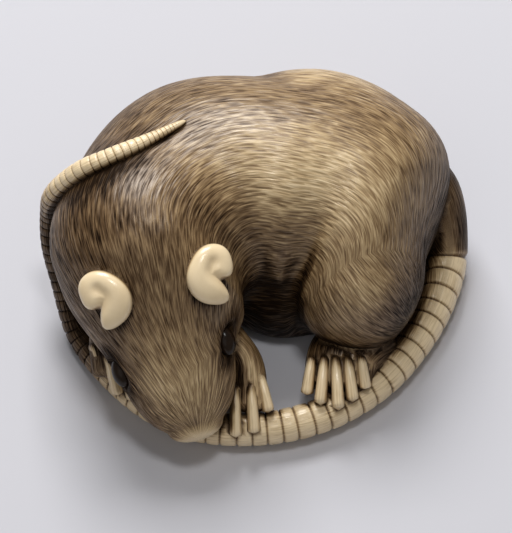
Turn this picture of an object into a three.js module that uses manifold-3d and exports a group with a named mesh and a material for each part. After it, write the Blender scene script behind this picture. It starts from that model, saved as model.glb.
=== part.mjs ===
// Netsuke of a curled rat, carved from one block of ivory, with two inlaid eyes of dark horn.
// Millimetres, +Z up. The rat lies on its belly round an upright opening for the cord. Its head is at the
// front left (-X, -Y), its back runs round the rear (+Y) and its rump is at the right (+X).
// The origin is on the plane that the carving rests on, under the middle of its outline.

import * as THREE from "three";
import { ParametricGeometry } from "three/addons/geometries/ParametricGeometry.js";
import { mergeVertices } from "three/addons/utils/BufferGeometryUtils.js";
import Module from "manifold-3d";

const wasm = await Module();
wasm.setup();

const DEGREE = Math.PI / 180;
const UPRIGHT = new THREE.Vector3(0, 0, 1);

// The middle of the carving's outline, in the frame that the sizes below are given in
const OUTLINE_MIDDLE = { x: 0.18, y: -0.37 };

// The opening that the body curls round: the middle of its upright axis
const OPENING = { x: 2.8, y: -8.4 };

// Trunk sections round the opening. Each row is the turn in degrees (0 is +X, 90 is +Y), then the distance of
// the section's middle from the opening's axis, its height, its half width and its half height.
const TRUNK = [
  [15, 9.2, 8.2, 4.6, 8.0],
  [32, 11.4, 9.1, 7.2, 10.0],
  [46, 15.0, 9.8, 10.8, 11.7],
  [60, 16.2, 10.4, 11.3, 12.4],
  [90, 15.2, 11.0, 11.3, 12.9],
  [120, 16.8, 10.8, 12.0, 12.7],
  [150, 15.8, 10.4, 10.4, 12.0],
  [165, 14.0, 10.2, 9.2, 11.8],
  [176, 12.8, 9.8, 8.3, 11.2],
];

// Each end of the trunk is the end of an ellipsoid: its length beyond the last section, how far the middle of
// the ellipsoid lies inside that section, and how much larger than the section the ellipsoid is there.
const TRUNK_END = 3.4;
const TRUNK_LEAD = 4.0;
const TRUNK_SWELL = 1 / Math.sqrt(1 - (TRUNK_LEAD / (TRUNK_END + TRUNK_LEAD)) ** 2);

// Head: the middles of its nose tip and its skull, its roll to the right in degrees, and its sections. Each
// row is the distance back from the nose tip, the half width, the crown's height and the jaw's depth.
const NOSE = [-5.5, -19.6, 4.4];
const SKULL = [-11.0, -4.5, 14.5];
const HEAD_ROLL = 9;
const HEAD = [
  [1.6, 3.0, 2.0, 2.2],
  [3.0, 4.4, 2.8, 2.8],
  [5.6, 5.6, 3.8, 3.8],
  [10, 6.5, 5.0, 5.0],
  [14, 7.6, 5.9, 6.0],
  [18, 8.5, 6.6, 7.0],
  [22, 9.0, 7.4, 8.0],
];
const NOSE_LENGTH = 1.6;
const NAPE_LENGTH = 8.0;

// Rounded masses on the trunk: middle, direction of the first half length, the three half lengths (along that
// direction, level across it, and upwards), and how far the mass runs into what it sits on
const LEFT_HAUNCH = { middle: [11.2, -4.0, 8.6], along: [1, 0.45, 0], half: [6.6, 5.0, 6.6], fillet: 2.4 };
const RIGHT_HAUNCH = { middle: [7.6, 13.4, 11.0], along: [1, -0.3, 0], half: [8.6, 5.4, 8.8], fillet: 2.4 };
const RIGHT_SHOULDER = { middle: [-13.2, 1.0, 8.5], along: [0.4, -1, 0], half: [7.0, 5.6, 9.0], fillet: 2.4 };
const BELLY = { middle: [3.4, -0.6, 3.0], along: [1, 0, 0], half: [6.5, 5.2, 7.0], fillet: 2.4 };

// How far the head runs into the trunk, and the rounding of the belly's edge
const NECK_BLEND = 4.0;
const BASE_ROUNDING = 1.6;

// The line inside the body that its surface is measured from: turn round the opening, distance and height
const CORE = [
  [6, 9.6, 6.6],
  [30, 12.6, 8.6],
  [60, 14.2, 10.0],
  [90, 14.8, 10.6],
  [120, 16.0, 10.4],
  [150, 15.4, 10.2],
  [180, 13.0, 9.6],
  [205, 12.2, 8.0],
  [218, 12.0, 6.0],
];
// The body's grid: faces round it and along it, the shares of its length that close its two ends, and the
// directions in which those ends point
const BODY_SIDES = 28;
const BODY_ROWS = 52;
const HAUNCH_SHARE = 0.14;
const NOSE_SHARE = 0.1;
const HAUNCH_POLE = new THREE.Vector3(0.25, -0.95, -0.2).normalize();
const NOSE_POLE = new THREE.Vector3(0.25, -0.95, -0.1).normalize();
const LONGEST_WAY = 40;

// Legs and feet that show past the body. Each row of a limb is a place on its middle line, and its half width
// and half height there.
const LEFT_FORE_LEG = [
  [[-4.5, -8.0, 8.0], 2.6, 2.8],
  [[-1.1, -10.8, 6.4], 1.9, 1.9],
  [[-0.3, -13.4, 4.7], 1.8, 1.3],
  [[-0.2, -16.2, 3.7], 1.8, 0.9],
];
const RIGHT_FORE_LEG = [
  [[-13.6, -4.0, 6.0], 2.8, 2.6],
  [[-15.0, -7.6, 4.7], 2.2, 1.6],
  [[-14.6, -11.6, 3.2], 2.2, 0.9],
];
const LEFT_HIND_FOOT = [
  [[13.0, -5.2, 2.9], 3.6, 2.7],
  [[9.6, -9.4, 3.8], 4.0, 2.3],
  [[8.8, -13.6, 3.3], 3.2, 1.5],
];
const RIGHT_HIND_FOOT = [
  [[10.4, 12.6, 2.4], 2.8, 2.6],
  [[4.0, 15.6, 1.9], 2.3, 2.0],
  [[-2.4, 16.3, 1.3], 2.6, 1.4],
];
const FOOT_SIDES = 10;
const FOOT_ROWS = 9;
const FOOT_ROUNDING = 0.12;

// Toes: where the line along the top of each starts and ends, their size, and how much they widen to the tip
const LEFT_HIND_TOES = [
  [[6.2, -10.2, 5.9], [5.6, -13.9, 4.3]],
  [[7.5, -10.2, 6.1], [7.0, -15.1, 4.3]],
  [[8.6, -10.2, 6.2], [8.9, -15.7, 4.3]],
  [[9.8, -10.2, 6.1], [10.4, -14.7, 4.3]],
  [[11.2, -10.1, 6.0], [11.7, -13.2, 4.4]],
];
const LEFT_FORE_TOES = [
  [[0.6, -12.0, 5.8], [1.6, -16.0, 4.3]],
  [[-0.3, -13.2, 5.9], [0.1, -18.1, 3.5]],
  [[-1.9, -13.4, 5.8], [-1.8, -18.4, 3.3]],
];
const RIGHT_FORE_TOES = [
  [[-16.9, -8.0, 5.0], [-16.0, -10.6, 3.4]],
  [[-15.4, -9.4, 5.3], [-14.1, -13.4, 3.3]],
  [[-13.8, -10.6, 5.2], [-12.5, -13.9, 3.2]],
];
const RIGHT_HIND_TOES = [
  [[-0.4, 14.6, 2.6], [-4.0, 14.0, 1.5]],
  [[-0.4, 15.7, 2.8], [-5.0, 15.6, 1.5]],
  [[-0.4, 16.8, 2.8], [-5.0, 17.0, 1.5]],
  [[-0.2, 17.8, 2.5], [-3.8, 18.3, 1.4]],
];
const TOE_HALF_WIDTH = 0.62;
const TOE_FIRST_WIDTH = 0.8;
const TOE_WIDENING = 0.35;
const TOE_DEPTH = 1.9;
const TOE_ARCH = 0.35;
const TOE_ROUNDING = 0.11;
const TOE_SIDES = 6;
const TOE_ROWS = 7;

// Tail: its root in the rump, its way along the floor (x and y), and its climb over the right shoulder, given
// as the turn round the opening and the lean outwards from the top of the back
const TAIL_ROOT = [
  [15.5, 11.5, 9.0],
  [19.3, 8.6, 7.4],
];
const TAIL_ON_FLOOR = [
  [20.5, 3.8],
  [19.5, -1.4],
  [17.1, -6.4],
  [13.6, -11.0],
  [8.9, -14.5],
  [3.9, -16.4],
  [-1.2, -17.0],
  [-6.2, -16.4],
  [-11.0, -14.0],
  [-15.2, -10.0],
  [-18.4, -5.2],
];
const TAIL_CLIMB = [
  [162, 115],
  [158, 95],
  [155, 76],
  [155, 56],
  [152, 36],
  [146, 23],
  [136, 15],
  [121, 12],
];
// Share of the tail's length, and its half thickness there
const TAIL_HALF = [
  [0, 3.2],
  [0.06, 2.9],
  [0.16, 2.25],
  [0.4, 1.95],
  [0.6, 1.55],
  [0.8, 1.25],
  [0.93, 0.95],
  [1, 0.3],
];
// Shares of its length on the floor and on the climb, how far the climb stands off the body in half
// thicknesses, and a place inside the rat that the tail's outer side faces away from
const TAIL_FLOOR_SHARES = [0.1, 0.65];
const TAIL_CLIMB_SHARES = [0.72, 1];
const TAIL_LIFT = 0.55;
const TAIL_HUB = new THREE.Vector3(0, 0, 8);
const TAIL_SIDES = 7;
// Rings: shares of the length where they start and stop, their length in half thicknesses, and the depth of
// the groove between them as a share of the half thickness
const RINGS_START = 0.12;
const RINGS_STOP = 0.985;
const RING_LENGTH = 0.82;
const RING_GROOVE = 0.1;
const TAIL_ROOT_STATIONS = [0, 0.005, 0.03, 0.06, 0.09];
const TAIL_TIP_STATIONS = [0.992, 1];
const TAIL_ROUNDING = 0.01;

// Ears: each a thick comma with a large upper lobe and a notch on its outer side. Each row is the angle in
// the ear's own plane (0 is out from the head's middle, 90 is back) and the distance of its edge there.
const EAR_EDGE = [
  [-46, 1.5],
  [-32, 1.75],
  [-17, 2.4],
  [8, 2.8],
  [50, 3.3],
  [129, 2.4],
  [188, 2.45],
  [258, 3.1],
  [291, 3.4],
  [302, 2.7],
  [314, 1.5],
];
const EAR_HALF_HEIGHT = 1.3;
const EAR_SQUARENESS = 0.75;
const EAR_SIDES = 24;
const EAR_ROWS = 6;
// Where the ears sit: distance back from the nose tip and lean from the crown in degrees (of the left and of
// the right one), lean of their faces, and height off the head
const EAR_BACKS = { left: 16.7, right: 17.5 };
const EAR_PLACE_LEANS = { left: 42, right: 38 };
const EAR_FACING_LEAN = 14;
const EAR_LIFT = 0.5;

// Eyes: distance back from the nose tip, lean from the crown in degrees (of the left and of the right one),
// half lengths (along the head, up the cheek and outwards), depth of their middles, and gap to their sockets
const EYE_BACK = 9.3;
const EYE_LEANS = { left: 70, right: 77 };
const EYE_HALF = [1.6, 1.0, 1.0];
const EYE_SUNK = 0.35;
const EYE_GAP = 0.3;
const EYE_SIDES = 10;
const EYE_ROWS = 7;

// Reads a table of stations at t. Each column runs on a cubic through its rows, and holds its end values.
function station(rows, t) {
  const last = rows.length - 1;
  if (t <= rows[0][0]) return rows[0].slice(1);
  if (t >= rows[last][0]) return rows[last].slice(1);
  let i = 0;
  while (t > rows[i + 1][0]) i += 1;
  const [from, to] = [rows[i], rows[i + 1]];
  const before = rows[Math.max(i - 1, 0)];
  const after = rows[Math.min(i + 2, last)];
  const step = to[0] - from[0];
  const p = (t - from[0]) / step;
  return from.slice(1).map((value, k) => {
    const end = to[k + 1];
    const leave = ((end - before[k + 1]) / (to[0] - before[0])) * step;
    const arrive = ((after[k + 1] - value) / (after[0] - from[0])) * step;
    return (
      value * (1 + 2 * p) * (1 - p) ** 2 +
      leave * p * (1 - p) ** 2 +
      end * p * p * (3 - 2 * p) +
      arrive * p * p * (p - 1)
    );
  });
}

// Near-distance from an ellipsoid round the origin: negative inside, zero on it
function ellipsoidDistance(x, y, z, a, b, c) {
  const near = Math.hypot(x / a, y / b, z / c);
  const slope = Math.hypot(x / (a * a), y / (b * b), z / (c * c));
  return slope < 1e-9 ? -Math.min(a, b, c) : (near * (near - 1)) / slope;
}

// Joins two distances with a fillet of about the given width
function blend(a, b, width) {
  const h = Math.max(width - Math.abs(a - b), 0) / width;
  return Math.min(a, b) - (h * h * width) / 4;
}

// A level frame along a direction, turned about it by roll degrees: along, across and upwards
function frameAlong(direction, roll = 0) {
  const along = new THREE.Vector3(...direction).normalize();
  const across = UPRIGHT.clone().cross(along).normalize();
  across.applyAxisAngle(along, -roll * DEGREE);
  return { along, across, up: along.clone().cross(across) };
}

function trunkDistance(x, y, z) {
  const dx = x - OPENING.x;
  const dy = y - OPENING.y;
  let turn = Math.atan2(dy, dx) / DEGREE;
  if (turn < -90) turn += 360;
  const held = THREE.MathUtils.clamp(turn, TRUNK[0][0], TRUNK[TRUNK.length - 1][0]);
  const [reach, rise, halfWidth, halfHeight] = station(TRUNK, held);
  const cos = Math.cos(held * DEGREE);
  const sin = Math.sin(held * DEGREE);
  const out = dx * cos + dy * sin - reach;
  const past = held === turn ? 0 : Math.abs(dy * cos - dx * sin);
  const [a, b, c] = [halfWidth * TRUNK_SWELL, TRUNK_END + TRUNK_LEAD, halfHeight * TRUNK_SWELL];
  return ellipsoidDistance(out, past + TRUNK_LEAD, z - rise, a, b, c);
}

const HEAD_FRAME = frameAlong(SKULL.map((value, k) => value - NOSE[k]), HEAD_ROLL);

function headDistance(x, y, z) {
  const offset = new THREE.Vector3(x - NOSE[0], y - NOSE[1], z - NOSE[2]);
  const back = offset.dot(HEAD_FRAME.along);
  const across = offset.dot(HEAD_FRAME.across);
  const up = offset.dot(HEAD_FRAME.up);
  const held = THREE.MathUtils.clamp(back, HEAD[0][0], HEAD[HEAD.length - 1][0]);
  const [halfWidth, crown, jaw] = station(HEAD, held);
  const end = back < held ? NOSE_LENGTH : NAPE_LENGTH;
  return ellipsoidDistance(back - held, across, up, end, halfWidth, up > 0 ? crown : jaw);
}

function massDistance(x, y, z, { middle, along, half }) {
  const frame = frameAlong(along);
  const offset = new THREE.Vector3(x - middle[0], y - middle[1], z - middle[2]);
  return ellipsoidDistance(offset.dot(frame.along), offset.dot(frame.across), offset.dot(frame.up), ...half);
}

// The rat without ears, feet and tail, resting on a flat belly
function bodyDistance(x, y, z) {
  let d = blend(trunkDistance(x, y, z), headDistance(x, y, z), NECK_BLEND);
  for (const mass of [LEFT_HAUNCH, RIGHT_HAUNCH, RIGHT_SHOULDER, BELLY]) {
    d = blend(d, massDistance(x, y, z, mass), mass.fillet);
  }
  return -blend(-d, z, BASE_ROUNDING);
}

// Walks out of the body from a point inside it along a direction, and gives the distance to the surface
function wayOut(from, direction) {
  const stride = 0.5;
  const halvings = 14;
  const at = (t) => bodyDistance(...from.clone().addScaledVector(direction, t));
  let outside = stride;
  while (outside < LONGEST_WAY && at(outside) <= 0) outside += stride;
  let inside = outside - stride;
  for (let halving = 0; halving < halvings; halving += 1) {
    const middle = (inside + outside) / 2;
    if (at(middle) > 0) outside = middle;
    else inside = middle;
  }
  return inside;
}

// A point on the body, and the direction it was measured in. turn goes round the opening, around goes round
// the section from the belly, over the inner flank and the back, and tilt leans towards an end of the body.
function onBody(turn, around, tilt = 0, pole = UPRIGHT) {
  const [reach, rise] = station(CORE, turn);
  const outward = new THREE.Vector3(Math.cos(turn * DEGREE), Math.sin(turn * DEGREE), 0);
  const from = new THREE.Vector3(OPENING.x, OPENING.y, rise).addScaledVector(outward, reach);
  const direction = new THREE.Vector3(0, 0, -Math.cos(around)).addScaledVector(outward, -Math.sin(around));
  direction.multiplyScalar(Math.cos(tilt)).addScaledVector(pole, Math.sin(tilt)).normalize();
  const way = wayOut(from, direction);
  return { point: from.addScaledVector(direction, way), direction };
}

// The body as a surface: u runs round each section, v runs from the haunch to the nose
function bodySurface(u, v, target) {
  const around = 2 * Math.PI * u;
  const first = CORE[0][0];
  const last = CORE[CORE.length - 1][0];
  const share = (v - HAUNCH_SHARE) / (1 - HAUNCH_SHARE - NOSE_SHARE);
  const turn = THREE.MathUtils.clamp(first + (last - first) * share, first, last);
  const haunchTilt = Math.max(0, 1 - v / HAUNCH_SHARE) * 90 * DEGREE;
  const noseTilt = Math.max(0, 1 - (1 - v) / NOSE_SHARE) * 90 * DEGREE;
  const [tilt, pole] = noseTilt > 0 ? [noseTilt, NOSE_POLE] : [haunchTilt, HAUNCH_POLE];
  target.copy(onBody(turn, around, tilt, pole).point);
}

// A closed mesh as a solid, with its shared points merged and its flat triangles left out. A mesh whose faces
// point inwards is turned inside out.
function solid(geometry, insideOut = false) {
  const bare = geometry.clone();
  bare.deleteAttribute("normal");
  bare.deleteAttribute("uv");
  const merged = mergeVertices(bare, 1e-4);
  const index = merged.index.array;
  const kept = [];
  for (let i = 0; i < index.length; i += 3) {
    const [a, b, c] = [index[i], index[i + 1], index[i + 2]];
    if (a !== b && b !== c && c !== a) kept.push(...(insideOut ? [a, c, b] : [a, b, c]));
  }
  const vertProperties = merged.attributes.position.array;
  const triVerts = new Uint32Array(kept);
  return new wasm.Manifold(new wasm.Mesh({ numProp: 3, vertProperties, triVerts }));
}

function geometryOf(made) {
  const mesh = made.getMesh();
  const geometry = new THREE.BufferGeometry();
  geometry.setAttribute("position", new THREE.Float32BufferAttribute(mesh.vertProperties, 3));
  geometry.setIndex(new THREE.Uint32BufferAttribute(mesh.triVerts, 1));
  return geometry;
}

function curveThrough(points) {
  const places = points.map((p) => new THREE.Vector3(...p));
  const curve = new THREE.CatmullRomCurve3(places, false, "catmullrom", 0.5);
  curve.arcLengthDivisions = 400;
  return curve;
}

// A closed tube along a curve, with its sections at the given shares of the curve's length. halfAt(t) gives
// its half width and half height, and upAt(point) says which way is up on it.
function tube(curve, shares, halfAt, upAt, sides) {
  const rows = shares.length - 1;
  const surface = (u, v, target) => {
    const t = shares[Math.round(v * rows)];
    const middle = curve.getPointAt(t);
    const tangent = curve.getTangentAt(t);
    const across = tangent.clone().cross(upAt(middle)).normalize();
    const up = across.clone().cross(tangent);
    const [halfWidth, halfHeight] = halfAt(t);
    const angle = -2 * Math.PI * u;
    target.copy(middle).addScaledVector(across, halfWidth * Math.cos(angle));
    target.addScaledVector(up, halfHeight * Math.sin(angle));
  };
  return solid(new ParametricGeometry(surface, sides, rows));
}

// Shares from 0 to 1 in even steps
function evenShares(rows) {
  return Array.from({ length: rows + 1 }, (_, k) => k / rows);
}

// Rounds off the ends of a tube over shares of its length: 0 at either end, 1 within
function roundedEnds(t, first, last) {
  const start = Math.min(t / first, 1);
  const end = Math.min((1 - t) / last, 1);
  return Math.sqrt(Math.max(0, (1 - (1 - start) ** 2) * (1 - (1 - end) ** 2)));
}

function limb(rows) {
  const last = rows.length - 1;
  const table = rows.map(([, halfWidth, halfHeight], k) => [k / last, halfWidth, halfHeight]);
  const halfAt = (t) => station(table, t).map((half) => half * roundedEnds(t, FOOT_ROUNDING, FOOT_ROUNDING));
  const line = curveThrough(rows.map(([place]) => place));
  return tube(line, evenShares(FOOT_ROWS), halfAt, () => UPRIGHT, FOOT_SIDES);
}

// A toe is TOE_DEPTH times as deep as it is wide, to be rooted in the foot, and its top lies along its line
function toe([from, to]) {
  const sunk = TOE_HALF_WIDTH * (TOE_DEPTH - 1);
  const middle = from.map((value, k) => (value + to[k]) / 2 + (k === 2 ? TOE_ARCH : 0));
  const points = [from, middle, to].map(([x, y, z]) => [x, y, z - sunk]);
  const halfAt = (t) => {
    const widened = TOE_HALF_WIDTH * (TOE_FIRST_WIDTH + TOE_WIDENING * t);
    const half = widened * roundedEnds(t, TOE_ROUNDING, TOE_ROUNDING);
    return [half, half * TOE_DEPTH];
  };
  return tube(curveThrough(points), evenShares(TOE_ROWS), halfAt, () => UPRIGHT, TOE_SIDES);
}

const tailHalf = (t) => station(TAIL_HALF, t)[0];

function tailCurve() {
  const shareOf = ([first, last], k, count) => first + ((last - first) * k) / (count - 1);
  const floor = TAIL_ON_FLOOR.map(([x, y], k, rows) => {
    return [x, y, tailHalf(shareOf(TAIL_FLOOR_SHARES, k, rows.length))];
  });
  const climb = TAIL_CLIMB.map(([turn, lean], k, rows) => {
    const { point, direction } = onBody(turn, (180 + lean) * DEGREE);
    const half = tailHalf(shareOf(TAIL_CLIMB_SHARES, k, rows.length));
    return point.addScaledVector(direction, TAIL_LIFT * half).toArray();
  });
  return curveThrough([...TAIL_ROOT, ...floor, ...climb]);
}

// The tail with its rings: a section at each groove and one at each crown between two grooves
function ringedTail() {
  const curve = tailCurve();
  const length = curve.getLength();
  const grooves = new Set();
  const ringShares = [];
  for (let t = RINGS_START; t < RINGS_STOP; ) {
    const ring = (RING_LENGTH * tailHalf(t)) / length;
    grooves.add(t);
    ringShares.push(t, t + ring / 2);
    t += ring;
  }
  const halfAt = (t) => {
    const groove = grooves.has(t) ? 1 - RING_GROOVE : 1;
    const half = tailHalf(t) * groove * roundedEnds(t, TAIL_ROUNDING, TAIL_ROUNDING);
    return [half, half];
  };
  const shares = [...TAIL_ROOT_STATIONS, ...ringShares, ...TAIL_TIP_STATIONS];
  return tube(curve, shares, halfAt, (middle) => middle.clone().sub(TAIL_HUB), TAIL_SIDES);
}

// A direction off the head that leans from the crown to one side by the given degrees. side is 1 for the
// rat's right and -1 for its left.
function offHead(side, lean) {
  const off = HEAD_FRAME.up.clone().multiplyScalar(Math.cos(lean * DEGREE));
  return off.addScaledVector(HEAD_FRAME.across, side * Math.sin(lean * DEGREE));
}

// Where a line in such a direction, from the middle of the head, comes out of the body
function onHead(back, side, lean) {
  const off = offHead(side, lean);
  const middle = new THREE.Vector3(...NOSE).addScaledVector(HEAD_FRAME.along, back);
  return middle.addScaledVector(off, wayOut(middle, off));
}

// An ear: round its middle the edge lies at the angles of EAR_EDGE, and from pole to pole the section is a
// cushion, which is an ellipse with its cosines and sines raised to EAR_SQUARENESS
function ear(side) {
  const off = offHead(side, EAR_FACING_LEAN);
  const which = side < 0 ? "left" : "right";
  const middle = onHead(EAR_BACKS[which], side, EAR_PLACE_LEANS[which]).addScaledVector(off, EAR_LIFT);
  const outward = HEAD_FRAME.along.clone().cross(off).multiplyScalar(-side);
  const [first] = EAR_EDGE[0];
  const surface = (u, v, target) => {
    const angle = first + 360 * u;
    const [edge] = station(EAR_EDGE, angle);
    const reach = edge * Math.sin(Math.PI * v) ** EAR_SQUARENESS;
    const rise = Math.cos(Math.PI * v);
    target.copy(middle).addScaledVector(outward, reach * Math.cos(angle * DEGREE));
    target.addScaledVector(HEAD_FRAME.along, reach * Math.sin(angle * DEGREE));
    target.addScaledVector(off, EAR_HALF_HEIGHT * Math.sign(rise) * Math.abs(rise) ** EAR_SQUARENESS);
  };
  return solid(new ParametricGeometry(surface, EAR_SIDES, EAR_ROWS), side < 0);
}

// An eye, or with some growth the socket for it
function eye(side, growth) {
  const lean = side < 0 ? EYE_LEANS.left : EYE_LEANS.right;
  const off = offHead(side, lean);
  const middle = onHead(EYE_BACK, side, lean).addScaledVector(off, -EYE_SUNK);
  const upward = off.clone().cross(HEAD_FRAME.along).normalize();
  const outward = HEAD_FRAME.along.clone().cross(upward);
  const ways = [HEAD_FRAME.along, upward, outward];
  const axes = ways.map((way, k) => way.clone().multiplyScalar(EYE_HALF[k] + growth));
  const placed = new THREE.Matrix4().makeBasis(...axes).setPosition(middle);
  return solid(new THREE.SphereGeometry(1, EYE_SIDES, EYE_ROWS).applyMatrix4(placed));
}

// Everything below the plane that the carving rests on
function ground() {
  const [width, depth] = [100, 10];
  return solid(new THREE.BoxGeometry(width, width, depth).translate(0, 0, -depth / 2));
}

function carvedRat() {
  let carving = solid(new ParametricGeometry(bodySurface, BODY_SIDES, BODY_ROWS)).add(ringedTail());
  for (const side of [-1, 1]) carving = carving.add(ear(side));
  for (const rows of [LEFT_FORE_LEG, RIGHT_FORE_LEG, LEFT_HIND_FOOT, RIGHT_HIND_FOOT]) {
    carving = carving.add(limb(rows));
  }
  for (const line of [...LEFT_HIND_TOES, ...LEFT_FORE_TOES, ...RIGHT_FORE_TOES, ...RIGHT_HIND_TOES]) {
    carving = carving.add(toe(line));
  }
  for (const side of [-1, 1]) carving = carving.subtract(eye(side, EYE_GAP));
  return carving.subtract(ground());
}

const ivory = new THREE.MeshStandardMaterial({ color: 0x9a7f5e, roughness: 0.4, metalness: 0 });
const horn = new THREE.MeshStandardMaterial({ color: 0x17100b, roughness: 0.2, metalness: 0 });

const netsuke = new THREE.Group();
netsuke.position.set(-OUTLINE_MIDDLE.x, -OUTLINE_MIDDLE.y, 0);

function addPiece(name, made, material) {
  const mesh = new THREE.Mesh(geometryOf(made), material);
  mesh.name = name;
  netsuke.add(mesh);
}

addPiece("rat", carvedRat(), ivory);
addPiece("left_eye", eye(-1, 0), horn);
addPiece("right_eye", eye(1, 0), horn);

export default netsuke;
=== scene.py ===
"""Netsuke of a curled rat in stained ivory: the carving with its engraved fur, its inlaid eyes and a stage.

Lengths are millimetres and angles are degrees until a mesh is made. The rat lies on its belly round an
upright opening for the cord, with its head at the front left, its back round the rear and its rump at the
right.
"""

import math

import bpy
import numpy as np
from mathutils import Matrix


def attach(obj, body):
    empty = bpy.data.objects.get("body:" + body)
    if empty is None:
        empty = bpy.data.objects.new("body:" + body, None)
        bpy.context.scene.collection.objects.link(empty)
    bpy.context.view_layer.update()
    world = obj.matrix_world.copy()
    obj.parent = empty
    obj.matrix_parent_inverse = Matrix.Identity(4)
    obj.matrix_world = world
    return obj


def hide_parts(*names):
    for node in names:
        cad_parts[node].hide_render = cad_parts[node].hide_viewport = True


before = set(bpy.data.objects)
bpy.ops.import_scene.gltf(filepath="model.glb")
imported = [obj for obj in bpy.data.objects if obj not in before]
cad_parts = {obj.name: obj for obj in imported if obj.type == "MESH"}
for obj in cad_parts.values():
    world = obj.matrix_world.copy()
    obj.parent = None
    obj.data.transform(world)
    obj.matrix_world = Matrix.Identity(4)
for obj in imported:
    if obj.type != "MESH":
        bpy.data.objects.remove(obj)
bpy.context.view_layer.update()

METRES = 0.001
UPRIGHT = np.array([0.0, 0.0, 1.0])

# The middle of the carving's outline, in the frame that the sizes below are given in
OUTLINE_MIDDLE = np.array([0.18, -0.37, 0.0])

# The form: the opening's upright axis, and the trunk's sections round it as rows of turn (0 is +X, 90 is +Y),
# distance of the section's middle from that axis, its height, its half width and its half height
OPENING = np.array([2.8, -8.4])
TRUNK = np.array([
    [15, 9.2, 8.2, 4.6, 8.0],
    [32, 11.4, 9.1, 7.2, 10.0],
    [46, 15.0, 9.8, 10.8, 11.7],
    [60, 16.2, 10.4, 11.3, 12.4],
    [90, 15.2, 11.0, 11.3, 12.9],
    [120, 16.8, 10.8, 12.0, 12.7],
    [150, 15.8, 10.4, 10.4, 12.0],
    [165, 14.0, 10.2, 9.2, 11.8],
    [176, 12.8, 9.8, 8.3, 11.2],
])
# Each end of the trunk is the end of an ellipsoid: its length beyond the last section, how far the middle of
# the ellipsoid lies inside that section, and how much larger than the section the ellipsoid is there
TRUNK_END = 3.4
TRUNK_LEAD = 4.0
TRUNK_SWELL = 1 / math.sqrt(1 - (TRUNK_LEAD / (TRUNK_END + TRUNK_LEAD)) ** 2)

# The head: the middles of its nose tip and skull, its roll to the right, and its sections as rows of distance
# back from the nose tip, half width, height of the crown side and depth of the jaw side
NOSE = np.array([-5.5, -19.6, 4.4])
SKULL = np.array([-11.0, -4.5, 14.5])
HEAD_ROLL = 9
HEAD = np.array([
    [1.6, 3.0, 2.0, 2.2],
    [3.0, 4.4, 2.8, 2.8],
    [5.6, 5.6, 3.8, 3.8],
    [10, 6.5, 5.0, 5.0],
    [14, 7.6, 5.9, 6.0],
    [18, 8.5, 6.6, 7.0],
    [22, 9.0, 7.4, 8.0],
])
NOSE_LENGTH = 1.6
NAPE_LENGTH = 8.0

# Rounded masses on the trunk, which are the two haunches, the right shoulder and the belly: middle, direction
# of the first half length, the three half lengths, and how far the mass runs into what it sits on
MASSES = [
    ([11.2, -4.0, 8.6], [1, 0.45, 0], [6.6, 5.0, 6.6], 2.4),
    ([7.6, 13.4, 11.0], [1, -0.3, 0], [8.6, 5.4, 8.8], 2.4),
    ([-13.2, 1.0, 8.5], [0.4, -1, 0], [7.0, 5.6, 9.0], 2.4),
    ([3.4, -0.6, 3.0], [1, 0, 0], [6.5, 5.2, 7.0], 2.4),
]
NECK_BLEND = 4.0
BASE_ROUNDING = 1.6

# The line inside the body that its surface is measured from: turn round the opening, distance and height.
# The surface is looked for in strides along straight lines from it, and the last stride is then halved.
CORE = np.array([
    [6, 9.6, 6.6],
    [30, 12.6, 8.6],
    [60, 14.2, 10.0],
    [90, 14.8, 10.6],
    [120, 16.0, 10.4],
    [150, 15.4, 10.2],
    [180, 13.0, 9.6],
    [205, 12.2, 8.0],
    [218, 12.0, 6.0],
])
FARTHEST = 40.0
STRIDE = 0.5
HALVINGS = 16
# The least share of a true distance that the near-distance gives outside the body
NEAR_SHARE = 0.66

# The body's grid. Its columns are the lines that the fur follows, from the nose over the back to a place low
# on the haunch, behind the tail, where they run together.
FUR_TURNS = (22, 218)
HAUNCH_POLE = np.array([0.62, -0.40, -0.68])
NOSE_POLE = np.array([0.25, -0.95, -0.10])
HAUNCH_ROWS = 30
BACK_ROWS = 128
NOSE_ROWS = 18
BODY_COLUMNS = 450
# Over the rump the columns drift from the back's top towards the outer flank, by an angle between two turns
DRIFT = 14
DRIFT_TURNS = (85, 25)
# The columns are close over the sector that shows, and sparse elsewhere
FINE_SECTOR = (62, 288)
SECTOR_EDGE = 20
COARSE_SHARE = 0.16

# Engraved fur: distance between the lines, length of a cut, depth, the lane widths in columns that are used,
# the share of cuts that are made, the least column spacing, and the spacings and heights between which the
# fur fades out
HAIR_PITCH = 0.34
HAIR_LENGTH = 2.3
HAIR_DEPTH = 0.08
LANE_COLUMNS = (3.0, 4.2, 6.0, 8.5, 12.0)
CUTS_MADE = 0.8
LEAST_SPACING = 0.01
WIDE_SPACING = (0.3, 0.18)
FLOOR_FADE = (0.05, 0.6)
# A cut: its lean and its width in lanes, the shares of its length that it runs in and out over, and the depth
# of the shallowest
CUT_LEAN = 0.9
CUT_WIDTH = 0.85
CUT_RUNS_IN = 0.15
CUT_RUNS_OUT = 0.4
SHALLOWEST_CUT = 0.45
# How far the whole skin lies inside the form, so that it stays in the box of the plain solid
BODY_TRIM = 0.02
# Steps of the fibres across the body from column to column, and where the other parts' fibres start
FIBRE_STEP = 0.115
LIMB_FIBRES = 40.0
TOE_FIBRES = 60.0
TAIL_FIBRES = 80.0
EAR_FIBRES = 120.0

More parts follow.
